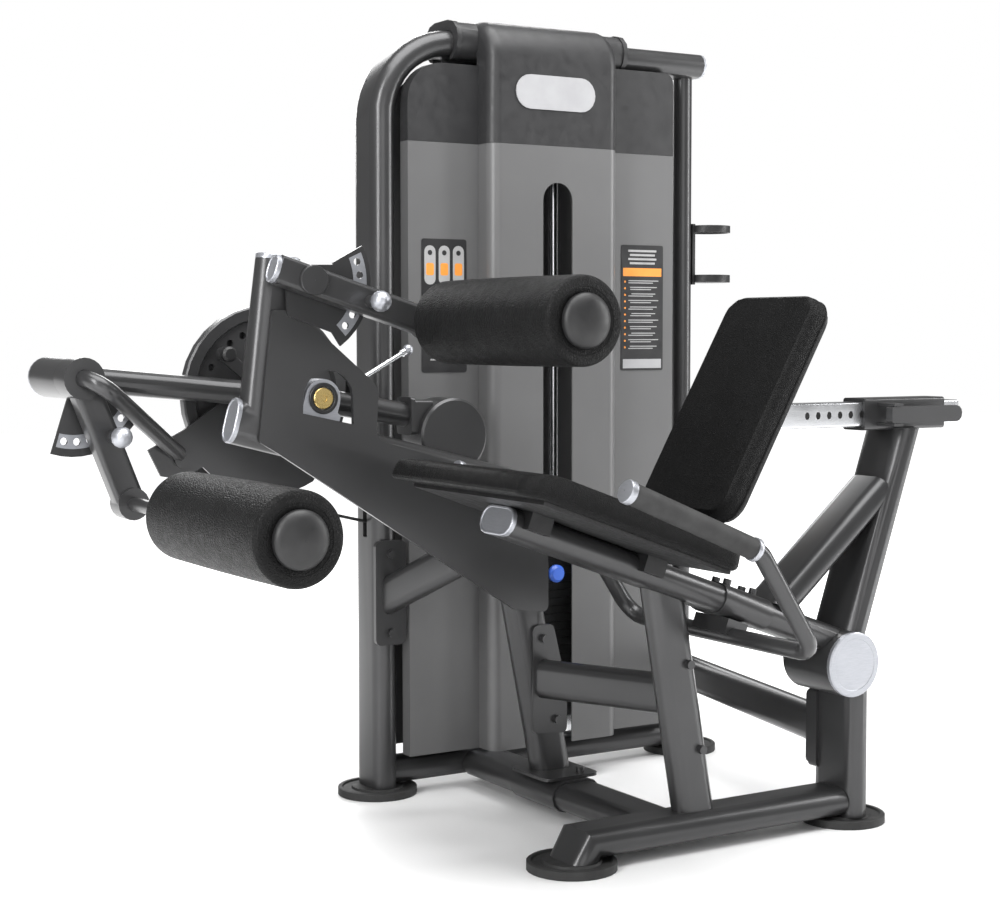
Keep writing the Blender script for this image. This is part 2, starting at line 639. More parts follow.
def base_frame(owner):
    """Floor tube under the seat, the cross tube to the tower and the near post."""
    drop = math.radians(60.0)
    turn_x = 0.055
    foot_z = FOOT_HEIGHT + GAP
    end_x = turn_x - (FLOOR_TUBE_Z - foot_z) / math.tan(drop)
    near_tube = sweep([(0.637 - TUBE_THIN / 2 - GAP, SEAT_Y, FLOOR_TUBE_Z), (turn_x, SEAT_Y, FLOOR_TUBE_Z),
                       (end_x, SEAT_Y, foot_z)], flat_oval(TUBE_WIDE, TUBE_THIN), Y_AXIS, None, -Z_AXIS)
    cross_x = 0.222
    cross = tube_between((cross_x, SEAT_Y + 0.02, FLOOR_TUBE_Z), (cross_x, -POST_WIDE / 2 - GAP,
                                                                  FLOOR_TUBE_Z),
                         flat_oval(TUBE_WIDE, TUBE_THIN), X_AXIS)
    sleeve = tube_between((cross_x, -0.375, FLOOR_TUBE_Z), (cross_x, -0.225, FLOOR_TUBE_Z),
                          flat_oval(TUBE_WIDE + 0.008, TUBE_THIN + 0.008), X_AXIS)
    post_y = SEAT_Y - 0.0025
    tan_slope = math.tan(BEAM_SLOPE)
    lean = (0.2205 - 0.286) / (0.45 - 0.08)
    beam_line = BEAM_FRONT.z - (TUBE_THIN / 2 + GAP) / math.cos(BEAM_SLOPE)
    top_z = (beam_line - tan_slope * (0.286 - 0.08 * lean - BEAM_FRONT.x)) / (1 + tan_slope * lean)
    top_x = 0.286 + lean * (top_z - 0.08)
    post = tube_between((0.286 + lean * (0.050 - 0.08), post_y, 0.050), (top_x, post_y, top_z),
                        flat_oval(POST_WIDE, POST_THIN), X_AXIS, None, BEAM_UP)
    heads = merged([bolt((0.261, post_y - POST_THIN / 2, 0.332), 0.008, 0.009),
                    bolt((0.289, post_y - POST_THIN / 2, 0.179), 0.008, 0.009)])
    welded("base_frame", [near_tube, cross, sleeve, post, heads], owner, DARK)


def gusset_outline():
    return rounded([(-0.388, 0.722, 0.010), (-0.355, 0.703, 0), (-0.225, 0.620, 0), (0.126, 0.394, 0.010),
                    (0.201, 0.383, 0.012), (0.201, 0.480, 0.050), (0.170, 0.600, 0.060), (0.080, 0.648, 0),
                    (-0.163, 0.720, 0.020), (-0.156, 0.812, 0.040), (-0.316, 0.947, 0.012), (-0.362, 0.947, 0.006)])


def pivot_frame(owner):
    """Front post, the sloping arm beam, the short upper post and the gusset that ties them."""
    beam_start = ARM_BEAM_FRONT + ARM_BEAM_DIRECTION * CAP_THICKNESS
    beam_end = ARM_BEAM_FRONT + ARM_BEAM_DIRECTION * 0.575
    beam = tube_between(beam_start, beam_end, flat_oval(POST_WIDE, TUBE_THIN), Z_AXIS)
    top = Vector((-0.3365, ARM_FRAME_Y, 1.032))
    low = Vector((-0.3740, ARM_FRAME_Y, 0.750))
    upper_post = tube_between(low, top, flat_oval(POST_WIDE, TUBE_THIN), X_AXIS)
    post_x = [line_x(z, 0.2235, 0.08, 0.1545, 0.43) for z in (0.0770, 0.610)]
    post = tube_between((post_x[0], ARM_FRAME_Y, 0.0770), (post_x[1], ARM_FRAME_Y, 0.610),
                        flat_oval(POST_WIDE, TUBE_THIN), X_AXIS, Z_AXIS)
    sleeve_top = FLOOR_TUBE_Z + TUBE_THIN / 2 + 0.004
    foot_plate = extrude(shifted(box_outline(0.120, 0.130, 0.015), 0.222, -0.300), "Z",
                         sleeve_top + GAP, sleeve_top + 0.0065)
    face_y = ARM_FRAME_Y - TUBE_THIN / 2
    gusset = extrude(gusset_outline(), "Y", face_y - 0.006, face_y + 0.003)
    side_plate = extrude(rounded([(0.168, 0.155, 0.010), (0.243, 0.150, 0.010), (0.243, 0.235, 0),
                                  (0.212, 0.360, 0.012), (0.166, 0.360,
                                                          0.012)]), "Y", face_y - 0.006, face_y + 0.003)
    heads = merged([bolt((0.190, face_y - 0.006, 0.334), 0.008, 0.009),
                    bolt((0.219, face_y - 0.006, 0.178), 0.008, 0.009),
                    bolt((0.250, -0.345, sleeve_top + 0.0065), 0.008, 0.010, Z_AXIS)])
    window = [(-0.305, 0.7690), (-0.207, 0.7475)] + arc(-0.256, 0.795, 0.048, 0.0, 180.0, 10)
    cut = extrude(window, "Y", face_y - 0.020, face_y + 0.0035)
    tie_start = Vector((0.192, face_y - 0.004, 0.257))
    tie_end = Vector((0.257, SEAT_Y - 0.0025 + POST_THIN / 2 + GAP, 0.272))
    tie = tube_between(tie_start, tie_end, flat_oval(0.074, 0.040), Z_AXIS, Y_AXIS, Y_AXIS)
    shapes = [beam, upper_post, post, foot_plate, gusset, side_plate, tie, heads]
    welded("pivot_frame", shapes, owner, DARK, [cut])
    end_cap("beam_a_cap", beam_start, -ARM_BEAM_DIRECTION, Z_AXIS, POST_WIDE, TUBE_THIN, owner)
    end_cap("front_top_cap", top, (top - low).normalized(), X_AXIS, POST_WIDE, TUBE_THIN, owner)


def braces(owner):
    """Flat-oval ties: tower to pivot frame, and rear upright to the tower's right post."""
    start = Vector((0.000, -TUBE_WIDE / 2 - 0.0090, 0.402))
    end = Vector((0.052, ARM_FRAME_Y + TUBE_THIN / 2 + GAP, 0.497))
    brace = tube_between(start, end, flat_oval(0.072, 0.038), Z_AXIS, Y_AXIS, Y_AXIS)
    saddle = extrude(shifted(box_outline(0.066, 0.204, 0.012), 0.0, 0.405), "Y",
                     -TUBE_WIDE / 2 - 0.010, -TUBE_WIDE / 2 - GAP)
    heads = merged([bolt((0.0, -TUBE_WIDE / 2 - 0.010, z), 0.0085, 0.009) for z in (0.327, 0.481)])
    welded("tower_brace", [saddle, brace, heads], owner, DARK)

    pad_y = SEAT_Y + REAR_TUBE_WIDE / 2
    rear_start = Vector((0.637, pad_y + 0.004, 0.170))
    rear_end = Vector((TOWER_RIGHT_X, -RIGHT_POST_RADIUS - GAP, 0.176))
    rear = tube_between(rear_start, rear_end, flat_oval(0.074, 0.042), Z_AXIS, Y_AXIS, Y_AXIS)
    flange = extrude(shifted(box_outline(0.062, 0.140, 0.010), 0.637, 0.170), "Y", pad_y + GAP,
                     pad_y + 0.006)
    rear_heads = merged([bolt((0.637, pad_y + 0.006, z), 0.008, 0.008, Y_AXIS) for z in (0.114, 0.226)])
    welded("brace_rear", [flange, rear, rear_heads], owner, DARK)


def leaning_upright(extra=0.0):
    """The rear upright above the cylinder, leaning back to the sleeve."""
    lean_x = [line_x(z, 0.637, 0.377, 0.7595, 0.735) for z in (0.310, 0.7310)]
    return tube_between((lean_x[0], SEAT_Y, 0.310), (lean_x[1], SEAT_Y, 0.7310),
                        flat_oval(REAR_TUBE_WIDE + extra, TUBE_THIN + extra), Y_AXIS, None, Z_AXIS)


def seat_beam(owner):
    start = BEAM_FRONT + BEAM_DIRECTION * CAP_THICKNESS
    length = (HUB - BEAM_FRONT).dot(BEAM_DIRECTION)
    beam = tube_between(start, BEAM_FRONT + BEAM_DIRECTION * length, flat_oval(TUBE_WIDE, TUBE_THIN),
                        Y_AXIS)
    collar_start = 0.466
    collar = tube_between(BEAM_FRONT + BEAM_DIRECTION * collar_start,
                          BEAM_FRONT + BEAM_DIRECTION * (collar_start + 0.112),
                          flat_oval(TUBE_WIDE + 2 * COLLAR_RISE, TUBE_THIN + 2 * COLLAR_RISE), Y_AXIS)
    heads = []
    for reach in (0.486, 0.548):
        for side in (-1, 1):
            spot = BEAM_FRONT + BEAM_DIRECTION * reach + BEAM_UP * 0.028 + Y_AXIS * side * 0.016
            heads.append(bolt(spot, 0.0075, 0.011, BEAM_UP))
    hub_room = disc(at(HUB, 0.0), 0.060 + GAP, SEAT_Y - 0.080, SEAT_Y + 0.080, Y_AXIS, 32)
    shapes = [beam, collar, merged(heads)]
    welded("seat_beam", shapes, owner, DARK, [hub_room, leaning_upright(2 * GAP)])
    end_cap("seat_beam_cap", start, -BEAM_DIRECTION, Y_AXIS, TUBE_WIDE, TUBE_THIN, owner)


def square_tube(low_x, high_x, centre_y, centre_z, outer_half, inner_half):
    outer = shifted(box_outline(2 * outer_half, 2 * outer_half, 0.006), centre_y, centre_z)
    inner = shifted(box_outline(2 * inner_half, 2 * inner_half, 0.003), centre_y, centre_z)
    rings = [[(x, y, z) for y, z in outline]
             for x, outline in ((low_x, outer), (high_x, outer), (high_x, inner), (low_x, inner))]
    return skin(rings, capped=False)


def rear_frame(owner):
    """Rear upright, end cylinder, the leaning upright with its diagonal, and the backrest's sleeve."""
    section = flat_oval(REAR_TUBE_WIDE, TUBE_THIN)
    upright = tube_between((0.637, SEAT_Y, FOOT_HEIGHT + GAP), (0.637, SEAT_Y, 0.320), section, Y_AXIS)
    hub = disc(at(HUB, 0.0), 0.060, SEAT_Y - 0.060, SEAT_Y + 0.060, Y_AXIS, 32)
    leaning = leaning_upright()
    rise = math.tan(math.radians(40.2))
    tan_slope = math.tan(BEAM_SLOPE)
    beam_line = BEAM_FRONT.z + (TUBE_THIN / 2 + GAP) / math.cos(BEAM_SLOPE) + tan_slope * BEAM_FRONT.x
    start_x = (beam_line - 0.4335 + rise * 0.484) / (rise + tan_slope)
    start = (start_x, SEAT_Y, 0.4335 + rise * (start_x - 0.484))
    end = (0.708, SEAT_Y, 0.4335 + rise * (0.708 - 0.484))
    diagonal = tube_between(start, end, flat_oval(TUBE_WIDE, TUBE_THIN), Y_AXIS, BEAM_UP)
    pad = extrude(shifted(box_outline(0.062, 0.150, 0.010), 0.637, 0.170), "Y",
                  SEAT_Y + 0.035, SEAT_Y + REAR_TUBE_WIDE / 2)
    sleeve = square_tube(0.660, 0.860, SEAT_Y, BAR_Z, BAR_HALF + 0.0070, BAR_HALF + 0.0005)
    wall_y = SEAT_Y - BAR_HALF - 0.0070
    lugs = merged([block((LOCK_PIVOT_X - 0.011, LEVER_Y - 0.010, BAR_Z + side * 0.0185 - 0.0025),
                         (LOCK_PIVOT_X + 0.011, wall_y + 0.002, BAR_Z + side * 0.0185 + 0.0025))
                   for side in (-1, 1)])
    pin_room = disc((LOCK_PIN_X, 0, BAR_Z), 0.0050, SEAT_Y - 0.05, SEAT_Y, Y_AXIS, 12)
    welded("rear_frame", [upright, hub, leaning, diagonal, pad, sleeve, lugs], owner, DARK, [pin_room])
    cap = [(0.0595, GAP), (0.0595, 0.007), (0.0570, 0.009), (0.0480, 0.009), (0.0470, 0.0082), (0.006, 0.0082)]
    solid("hub_cap", turned(cap, at(HUB, SEAT_Y - 0.060), -Y_AXIS, 32), owner, ALUMINIUM)


def hub_bracket(owner):
    """Bearing block on the arm beam that carries the main shaft."""
    face_y = ARM_FRAME_Y - TUBE_THIN / 2 + 0.003
    block_y = (face_y + GAP, face_y + 0.040)
    height = (PIVOT - ARM_BEAM_FRONT).dot(Vector((math.sin(ARM_BEAM_SLOPE), 0.0, math.cos(ARM_BEAM_SLOPE))))
    base = POST_WIDE / 2 + GAP - height
    outline = [(-0.041, base), (0.041, base), (0.041, base + 0.012), (0.034, base + 0.016)]
    outline += arc(0.0, 0.0, 0.034, 0.0, 180.0, 14)
    outline += [(-0.034, base + 0.016), (-0.041, base + 0.012)]
    outline = shifted(turned_by(outline, -ARM_BEAM_SLOPE), PIVOT.x, PIVOT.z)
    bore = disc(PIVOT, 0.0206, ARM_FRAME_Y - 0.06, ARM_FRAME_Y + 0.06, Y_AXIS, 20)
    welded("pillow_block", [extrude(outline, "Y", *block_y)], owner, ALUMINIUM, [bore])


def sector_points(centre, inner, outer, start, end, steps=10):
    return (arc(centre.x, centre.z, outer, start, end, steps)
            + arc(centre.x, centre.z, inner, end, start, max(steps // 2, 3)))


def sector_holes(centre, radius, angles, low, high):
    return [disc((centre.x + radius * math.cos(math.radians(a)), 0,
                  centre.z + radius * math.sin(math.radians(a))),
                 0.0070, low, high, Y_AXIS, 8) for a in angles]


UPPER_HOLE_ANGLES = [-42.0 + 12.0 * number for number in range(6)]
LOWER_HOLE_ANGLES = [-64.0 - 12.0 * number for number in range(-2, 4)]
UPPER_HOLE_RADIUS = 0.114
LOWER_HOLE_RADIUS = 0.109


def sector_high(owner):
    """Hole plate that sets the thigh pad's height, with the pad arm's pivot pin."""
    front = ARM_FRAME_Y - TUBE_THIN / 2 - 0.006 - GAP
    y_span = (front - 0.005, front)
    web = rounded([(UPPER_PIVOT.x - 0.026, UPPER_PIVOT.z - 0.060, 0.01), (UPPER_PIVOT.x + 0.080,
                                                                          UPPER_PIVOT.z - 0.095, 0),
                   (UPPER_PIVOT.x + 0.112, UPPER_PIVOT.z + 0.030, 0), (UPPER_PIVOT.x + 0.010,
                                                                       UPPER_PIVOT.z + 0.028, 0.02),
                   (UPPER_PIVOT.x - 0.028, UPPER_PIVOT.z + 0.022, 0.02)])
    fan = extrude(sector_points(UPPER_PIVOT, 0.070, 0.135, -56.0, 28.0), "Y", *y_span)
    arm_pin = disc(at(UPPER_PIVOT, 0.0), 0.0080, -0.3665, y_span[1] - 0.001, Y_AXIS, 16)
    cuts = [merged(sector_holes(UPPER_PIVOT, UPPER_HOLE_RADIUS, UPPER_HOLE_ANGLES, -0.34, -0.30))]
    welded("sector_high", [extrude(web, "Y", *y_span), fan, arm_pin], owner, DARK, cuts)


# ---------------------------------------------------------------- seat, handles and backrest
SEAT_HALF_WIDTH = 0.225
PAN_LOW = TUBE_THIN / 2 + GAP
PAN_HIGH = PAN_LOW + 0.006


def on_beam(reach, lift):
    spot = BEAM_FRONT + BEAM_DIRECTION * reach + BEAM_UP * lift
    return (spot.x, spot.z)


def seat(owner):
    pan_outline = [on_beam(-0.052, PAN_LOW), on_beam(0.335, PAN_LOW), on_beam(0.335, PAN_HIGH),
                   on_beam(-0.052, PAN_HIGH)]
    pan = extrude(pan_outline, "Y", SEAT_Y - SEAT_HALF_WIDTH + 0.02, SEAT_Y + SEAT_HALF_WIDTH - 0.02)
    brackets = []
    for reach in (0.045, 0.290):
        outline = [on_beam(reach - 0.022, -0.004), on_beam(reach + 0.022, -0.004),
                   on_beam(reach + 0.022, PAN_LOW + 0.001), on_beam(reach - 0.022, PAN_LOW + 0.001)]
        brackets.append(extrude(outline, "Y", SEAT_Y - 0.066, SEAT_Y + 0.066))
    beam_room = tube_between(BEAM_FRONT - BEAM_DIRECTION * 0.10, BEAM_FRONT + BEAM_DIRECTION * 0.45,
                             flat_oval(TUBE_WIDE + 2 * GAP, TUBE_THIN + 2 * GAP), Y_AXIS)
    welded("seat_pan", [pan, merged(brackets)], owner, BLACK_PLASTIC, [beam_room])

    top = 0.0770
    bottom = PAN_HIGH + GAP
    corners = [(*on_beam(-0.060, bottom), 0), (*on_beam(0.346, bottom), 0.004), (*on_beam(0.346, top),
                                                                                 0.012),
               (*on_beam(-0.068, top), 0.022), (*on_beam(-0.102, 0.022), 0.012), (*on_beam(-0.090, 0.0180),
                                                                                  0)]
    cushion = extrude(rounded(corners), "Y", SEAT_Y - SEAT_HALF_WIDTH, SEAT_Y + SEAT_HALF_WIDTH)
    solid("seat_cushion", cushion, owner, VINYL)


def handles(owner):
    reach_y = 0.260
    front = Vector((-0.037, 0.0, 0.663))
    grip_end = Vector((0.212, 0.0, 0.559))
    corner = Vector((0.226, 0.0, 0.5532))
    path = [at(front, SEAT_Y - reach_y), at(corner, SEAT_Y - reach_y), at(HANDLE_CROSS, SEAT_Y - reach_y),
            at(HANDLE_CROSS, SEAT_Y + reach_y), at(corner, SEAT_Y + reach_y), at(front, SEAT_Y + reach_y)]
    bar = sweep(bent(path, 0.040, 4), circle(0.0150, 14), Z_AXIS)
    lift = (HANDLE_CROSS - BEAM_FRONT).dot(BEAM_UP)
    clamp_top = -TUBE_THIN / 2 - COLLAR_RISE - GAP - lift
    clamp = tube_between(HANDLE_CROSS, HANDLE_CROSS + BEAM_UP * clamp_top, box_outline(0.094, 0.046),
                         Y_AXIS)
    welded("handle_bar", [bar, clamp], owner, DARK)
    run = (grip_end - front).normalized()
    length = (grip_end - front).length
    for name, side in (("grip_near", -1), ("grip_far", 1)):
        base = at(front, SEAT_Y + side * reach_y)
        profile = [(0.0170, 0.004), (0.0185, 0.006), (0.0185, length - 0.004), (0.0153, length - 0.004),
                   (0.0153, 0.004)]
        solid(name, turned(profile, base, run, 16, ring=True), owner, RUBBER)


BACK_LOW = Vector((0.249, SEAT_Y, 0.599))
BACK_HIGH = Vector((0.468, SEAT_Y, 0.978))
BACK_THICKNESS = 0.041
BACK_PLATE = 0.006


def backrest(slider, lever, pin):
    up = (BACK_HIGH - BACK_LOW).normalized()
    rearward = Vector((up.z, 0.0, -up.x))
    middle = (BACK_HIGH + BACK_LOW) / 2
    tall = (BACK_HIGH - BACK_LOW).length
    cushion = tube_between(middle, middle + rearward * BACK_THICKNESS, box_outline(0.250, tall, 0.045, 5),
                           Y_AXIS)
    solid("backrest_cushion", cushion, slider, VINYL)
    plate_start = middle + rearward * (BACK_THICKNESS + GAP)
    plate = tube_between(plate_start, plate_start + rearward * BACK_PLATE,
                         box_outline(0.234, tall - 0.016, 0.038, 5), Y_AXIS)
    solid("backrest_plate", plate, slider, BLACK_PLASTIC)

    back = plate_start + rearward * (BACK_PLATE + GAP)
    start_x = back.x + (back - Vector((0, SEAT_Y, BAR_Z))).dot(Vector((0, 0, 1))) * rearward.z / rearward.x
    start = Vector((start_x, SEAT_Y, BAR_Z))
    bar = tube_between(start, (0.904, SEAT_Y, BAR_Z), box_outline(2 * BAR_HALF, 2 * BAR_HALF, 0.004),
                       Y_AXIS, rearward)
    foot = tube_between(start, start + rearward * 0.006, box_outline(0.110, 0.150, 0.012), Y_AXIS)
    holes = []
    for number in range(-1, BAR_HOLE_COUNT + 1):
        hole_x = LOCK_PIN_X - number * BAR_HOLE_PITCH
        holes.append(extrude(shifted(turned_by(flat_oval(0.0145, 0.0105, 3), math.pi / 2), hole_x, BAR_Z),
                             "Y",
                             SEAT_Y - 0.04, SEAT_Y + 0.04))
    welded("slide_bar", [bar, foot], slider, CHROME, [merged(holes)])

    handle = rounded([(LOCK_PIVOT_X - 0.014, BAR_Z - 0.0150, 0.004), (LEVER_END_X, BAR_Z - 0.0150, 0.0145),
                      (LEVER_END_X, BAR_Z + 0.0150, 0.0145), (LOCK_PIVOT_X - 0.014, BAR_Z + 0.0150,
                                                              0.004)], 3)
    lever_body = extrude(handle, "Y", LEVER_Y - 0.008, LEVER_Y + 0.008)
    hinge_pin = disc((LOCK_PIVOT_X, LEVER_Y, BAR_Z), 0.0040, -0.0158, 0.0158, Z_AXIS, 12)
    welded("lock_lever", [lever_body, hinge_pin], lever, DARK)
    tip_y = SEAT_Y - BAR_HALF - 2 * GAP
    solid("lock_pin", disc((LOCK_PIN_X, 0, BAR_Z), 0.0045, LEVER_Y + 0.0095, tip_y, Y_AXIS, 12), pin,
          CHROME)


# ---------------------------------------------------------------- swinging arm
SHAFT_RADIUS = 0.020
ARM_TUBE_RADIUS = 0.0225
ARM_TUBE_Y = -0.100
AXLE_RADIUS = 0.015
LOW_SECTOR_Y = (-0.134, -0.128)
LOWER_ARM_Y = (-0.185, -0.145)
UPPER_ARM_Y = (-0.365, -0.325)
ROLLER_AXLE_RADIUS = 0.0120
COUNTERWEIGHT = Vector((0.040, 0.0, 0.717))
COUNTERWEIGHT_Y = -0.200
LEVER_PIVOT = Vector((-0.150, COUNTERWEIGHT_Y, 0.8150))


def lobe_outline(radius):
    """Cam plate: a full-size track below, cut back to a small hub above."""
    return (arc(PIVOT.x, PIVOT.z, radius, -128.0, -38.0, 12)
            + arc(PIVOT.x, PIVOT.z, 0.095, -20.0, 214.0, 10))


def cam_wheel(owner):
    rim = [(SHAFT_RADIUS + 2 * GAP, -0.060), (0.138, -0.060), (0.143, -0.070), (0.162, -0.070), (0.165, -0.067),
           (0.165, -0.050), (0.130, -0.050), (0.130, -0.044), (0.060, -0.044), (0.060, 0.012),
           (SHAFT_RADIUS + 2 * GAP, 0.012)]
    wheel = turned(rim, at(PIVOT, 0.0), Y_AXIS, 32, ring=True)
    track = CAM_TRACK_RADIUS - 0.0006
    flanges = [extrude(lobe_outline(CAM_TRACK_RADIUS + 0.008), "Y", *span)
               for span in ((-0.0095, -0.0045), (0.0045, 0.0095))]
    core = extrude(lobe_outline(track), "Y", -0.0050, 0.0050)
    neck = disc(at(PIVOT, 0.0), 0.085, -0.046, 0.0, Y_AXIS, 24)
    bore = disc(at(PIVOT, 0.0), SHAFT_RADIUS + 2 * GAP, -0.10, 0.05, Y_AXIS, 24)
    holes = []
    for number in range(5):
        angle = math.radians(112.0 + 14.0 * number)
        spot = (PIVOT.x + 0.118 * math.cos(angle), 0.0, PIVOT.z + 0.118 * math.sin(angle))
        holes.append(disc(spot, 0.0068, -0.08, -0.0475, Y_AXIS, 8))
    welded("cam_wheel", [wheel, *flanges, core, neck], owner, DARK, [bore, merged(holes)])
    solid("main_shaft", disc(at(PIVOT, 0.0), SHAFT_RADIUS, -0.3020, 0.020, Y_AXIS, 24, 0.0015), owner,
          CHROME)
    cap = [(0.0190, GAP), (0.0190, 0.0020), (0.0175, 0.0032), (0.0060, 0.0032), (0.0055, 0.0022)]
    solid("shaft_cap", turned(cap, at(PIVOT, -0.3020), -Y_AXIS, 20), owner, BRASS)


def arm_plate_outline():
    low = arc(PIVOT.x, PIVOT.z, 0.185, -136.0, -62.0, 12)
    hub = arc(PIVOT.x, PIVOT.z, 0.048, 10.0, 105.0, 8)
    return [(-0.500, 0.700), (-0.476, 0.652), (-0.440, 0.646)] + low + [(-0.160, 0.652)] + hub + [(-0.430, 0.735)]


def movement_arm(owner):
    """Long arm from the hub to the ankle-arm sleeve, the stay back to the hub plate, and the drum arm."""
    plate_y = (-0.0805, -0.0745)
    plate = extrude(arm_plate_outline(), "Y", *plate_y)
    hub = disc(at(PIVOT, 0.0), 0.037, -0.235, -0.0745, Y_AXIS, 24)
    tube = tube_between(at(SLEEVE_AXIS, ARM_TUBE_Y), at(PIVOT, ARM_TUBE_Y), circle(ARM_TUBE_RADIUS, 16),
                        Y_AXIS)
    ring = disc(at(SLEEVE_AXIS, 0.0), 0.036, LOW_SECTOR_Y[0], 0.000, Y_AXIS, 24)
    stay_path = bent([at(SLEEVE_AXIS, -0.080), at(SLEEVE_AXIS, -0.254), (-0.440, -0.078, 0.690)], 0.030, 4)
    stay = sweep(stay_path, circle(AXLE_RADIUS, 12), X_AXIS)
    fan = extrude(sector_points(SLEEVE_AXIS, 0.020, 0.135, -108.0, -30.0), "Y", *LOW_SECTOR_Y)
    drum_end = Vector((-0.043, COUNTERWEIGHT_Y, 0.757))
    drum_arm = tube_between(at(PIVOT, COUNTERWEIGHT_Y), drum_end, circle(ARM_TUBE_RADIUS, 16), Y_AXIS)
    flange = extrude(shifted(box_outline(0.058, 0.070, 0.008), COUNTERWEIGHT_Y, 0.755), "X", -0.046, -0.038)
    ears = merged([block((LEVER_PIVOT.x - 0.010, LEVER_PIVOT.y + side * 0.0105 - 0.0025, 0.785),
                         (LEVER_PIVOT.x + 0.010, LEVER_PIVOT.y + side * 0.0105 + 0.0025,
                          LEVER_PIVOT.z + 0.010))
                   for side in (-1, 1)])
    ear_pin = disc(at(LEVER_PIVOT, LEVER_PIVOT.y), 0.0030, -0.0110, 0.0110, Y_AXIS, 12)
    anchor = block((-0.372, -0.0745 - 0.004, 0.640), (-0.330, -0.0745, 0.676))
    doubler = disc((-0.436, 0, 0.682), 0.016, -0.0885, -0.079, Y_AXIS, 20)
    bore = disc(at(PIVOT, 0.0), SHAFT_RADIUS + 0.0006, -0.30, 0.05, Y_AXIS, 24)
    clip = tube_between(at(PIVOT, -0.0775), at(start_hole(), -0.0775), box_outline(0.006, 0.024, 0.001),
                        Y_AXIS)
    clip_boss = disc(start_hole(), 0.0135, -0.0865, -0.0745, Y_AXIS, 20)
    plunger_room = disc(start_hole(), 0.0066, -0.10, -0.06, Y_AXIS, 12)
    holes = merged(sector_holes(SLEEVE_AXIS, LOWER_HOLE_RADIUS, LOWER_HOLE_ANGLES, -0.15, -0.12))
    shapes = [tube, hub, plate, ring, stay, fan, drum_arm, flange, ears, ear_pin, anchor, doubler,
              clip, clip_boss]
    welded("movement_arm", shapes, owner, DARK, [bore, plunger_room, holes])
    far_cap = [(0.0355, GAP), (0.0355, 0.007), (0.0335, 0.009), (0.0270, 0.009), (0.0262, 0.008)]
    solid("sleeve_cap", turned(far_cap, at(SLEEVE_AXIS, 0.000), Y_AXIS, 24), owner, ALUMINIUM)

    drum = [(0.066, -0.240), (0.0705, -0.2365), (0.0705, -0.1685), (0.066, -0.165)]
    shapes = [turned(drum, at(COUNTERWEIGHT, 0.0), Y_AXIS, 32),
              extrude(shifted(box_outline(0.054, 0.064, 0.006), COUNTERWEIGHT_Y, 0.752), "X", -0.038 + GAP,
                      0.000)]
    welded("counterweight", shapes, owner, DARK)


def start_hole():
    """Place of the start-position plunger, on the cam's ring of holes."""
    angle = math.radians(112.0 + 14.0 * 2)
    return Vector((PIVOT.x + 0.118 * math.cos(angle), 0.0, PIVOT.z + 0.118 * math.sin(angle)))


def start_plunger(owner):
    """Spring plunger that locks the arm to one of the cam's holes, in a clip on the arm plate."""
    hole = start_hole()
    profile = [(0.0050, -0.0608), (0.0050, -0.088), (0.0090, -0.090), (0.0140, -0.096), (0.0140, -0.108),
               (0.0100, -0.112)]
    solid("start_plunger", turned(profile, hole, Y_AXIS, 20), owner, BLACK_PLASTIC)


def range_lever(owner):
    rod_end = Vector((-0.046, COUNTERWEIGHT_Y, 0.872))
    rod = tube_between(LEVER_PIVOT, rod_end, circle(0.0045, 12), Y_AXIS)
    tip = tube_between(rod_end - (rod_end - LEVER_PIVOT).normalized() * 0.004,
                       rod_end + (rod_end - LEVER_PIVOT).normalized() * 0.014, circle(0.0070, 12), Y_AXIS)
    boss = disc(at(LEVER_PIVOT, LEVER_PIVOT.y), 0.0085, -0.0070, 0.0070, Y_AXIS, 20)
    bore = disc(at(LEVER_PIVOT, LEVER_PIVOT.y), 0.0034, -0.02, 0.02, Y_AXIS, 12)
    welded("range_lever", [rod, boss, tip], owner, CHROME, [bore])


def ball_pin(name, place_x, place_z, tip_y, ball_y, owner):
    """Spring plunger with a ball knob."""
    neck = 0.010
    profile = [(0.0055, tip_y), (0.0055, ball_y + 0.0165)]
    steps = 6
    for number in range(steps + 1):
        angle = math.radians(62.0 - (62.0 + 80.0) * number / steps)
        profile.append((0.0185 * math.cos(angle), ball_y + 0.0185 * math.sin(angle)))
    profile[2] = (max(profile[2][0], neck * 0.8), profile[2][1])
    solid(name, turned(profile, (place_x, 0.0, place_z), Y_AXIS, 14), owner, ALUMINIUM)


def pad_arm_shape(start, end, y_span, tall):
    """Bar between two axes with a round boss at each end."""
    run = (end - start)
    run.y = 0.0
    middle_y = (y_span[0] + y_span[1]) / 2
    return tube_between(at(start, middle_y), at(end, middle_y), box_outline(y_span[1] - y_span[0], tall,
                                                                            0.008), Y_AXIS)


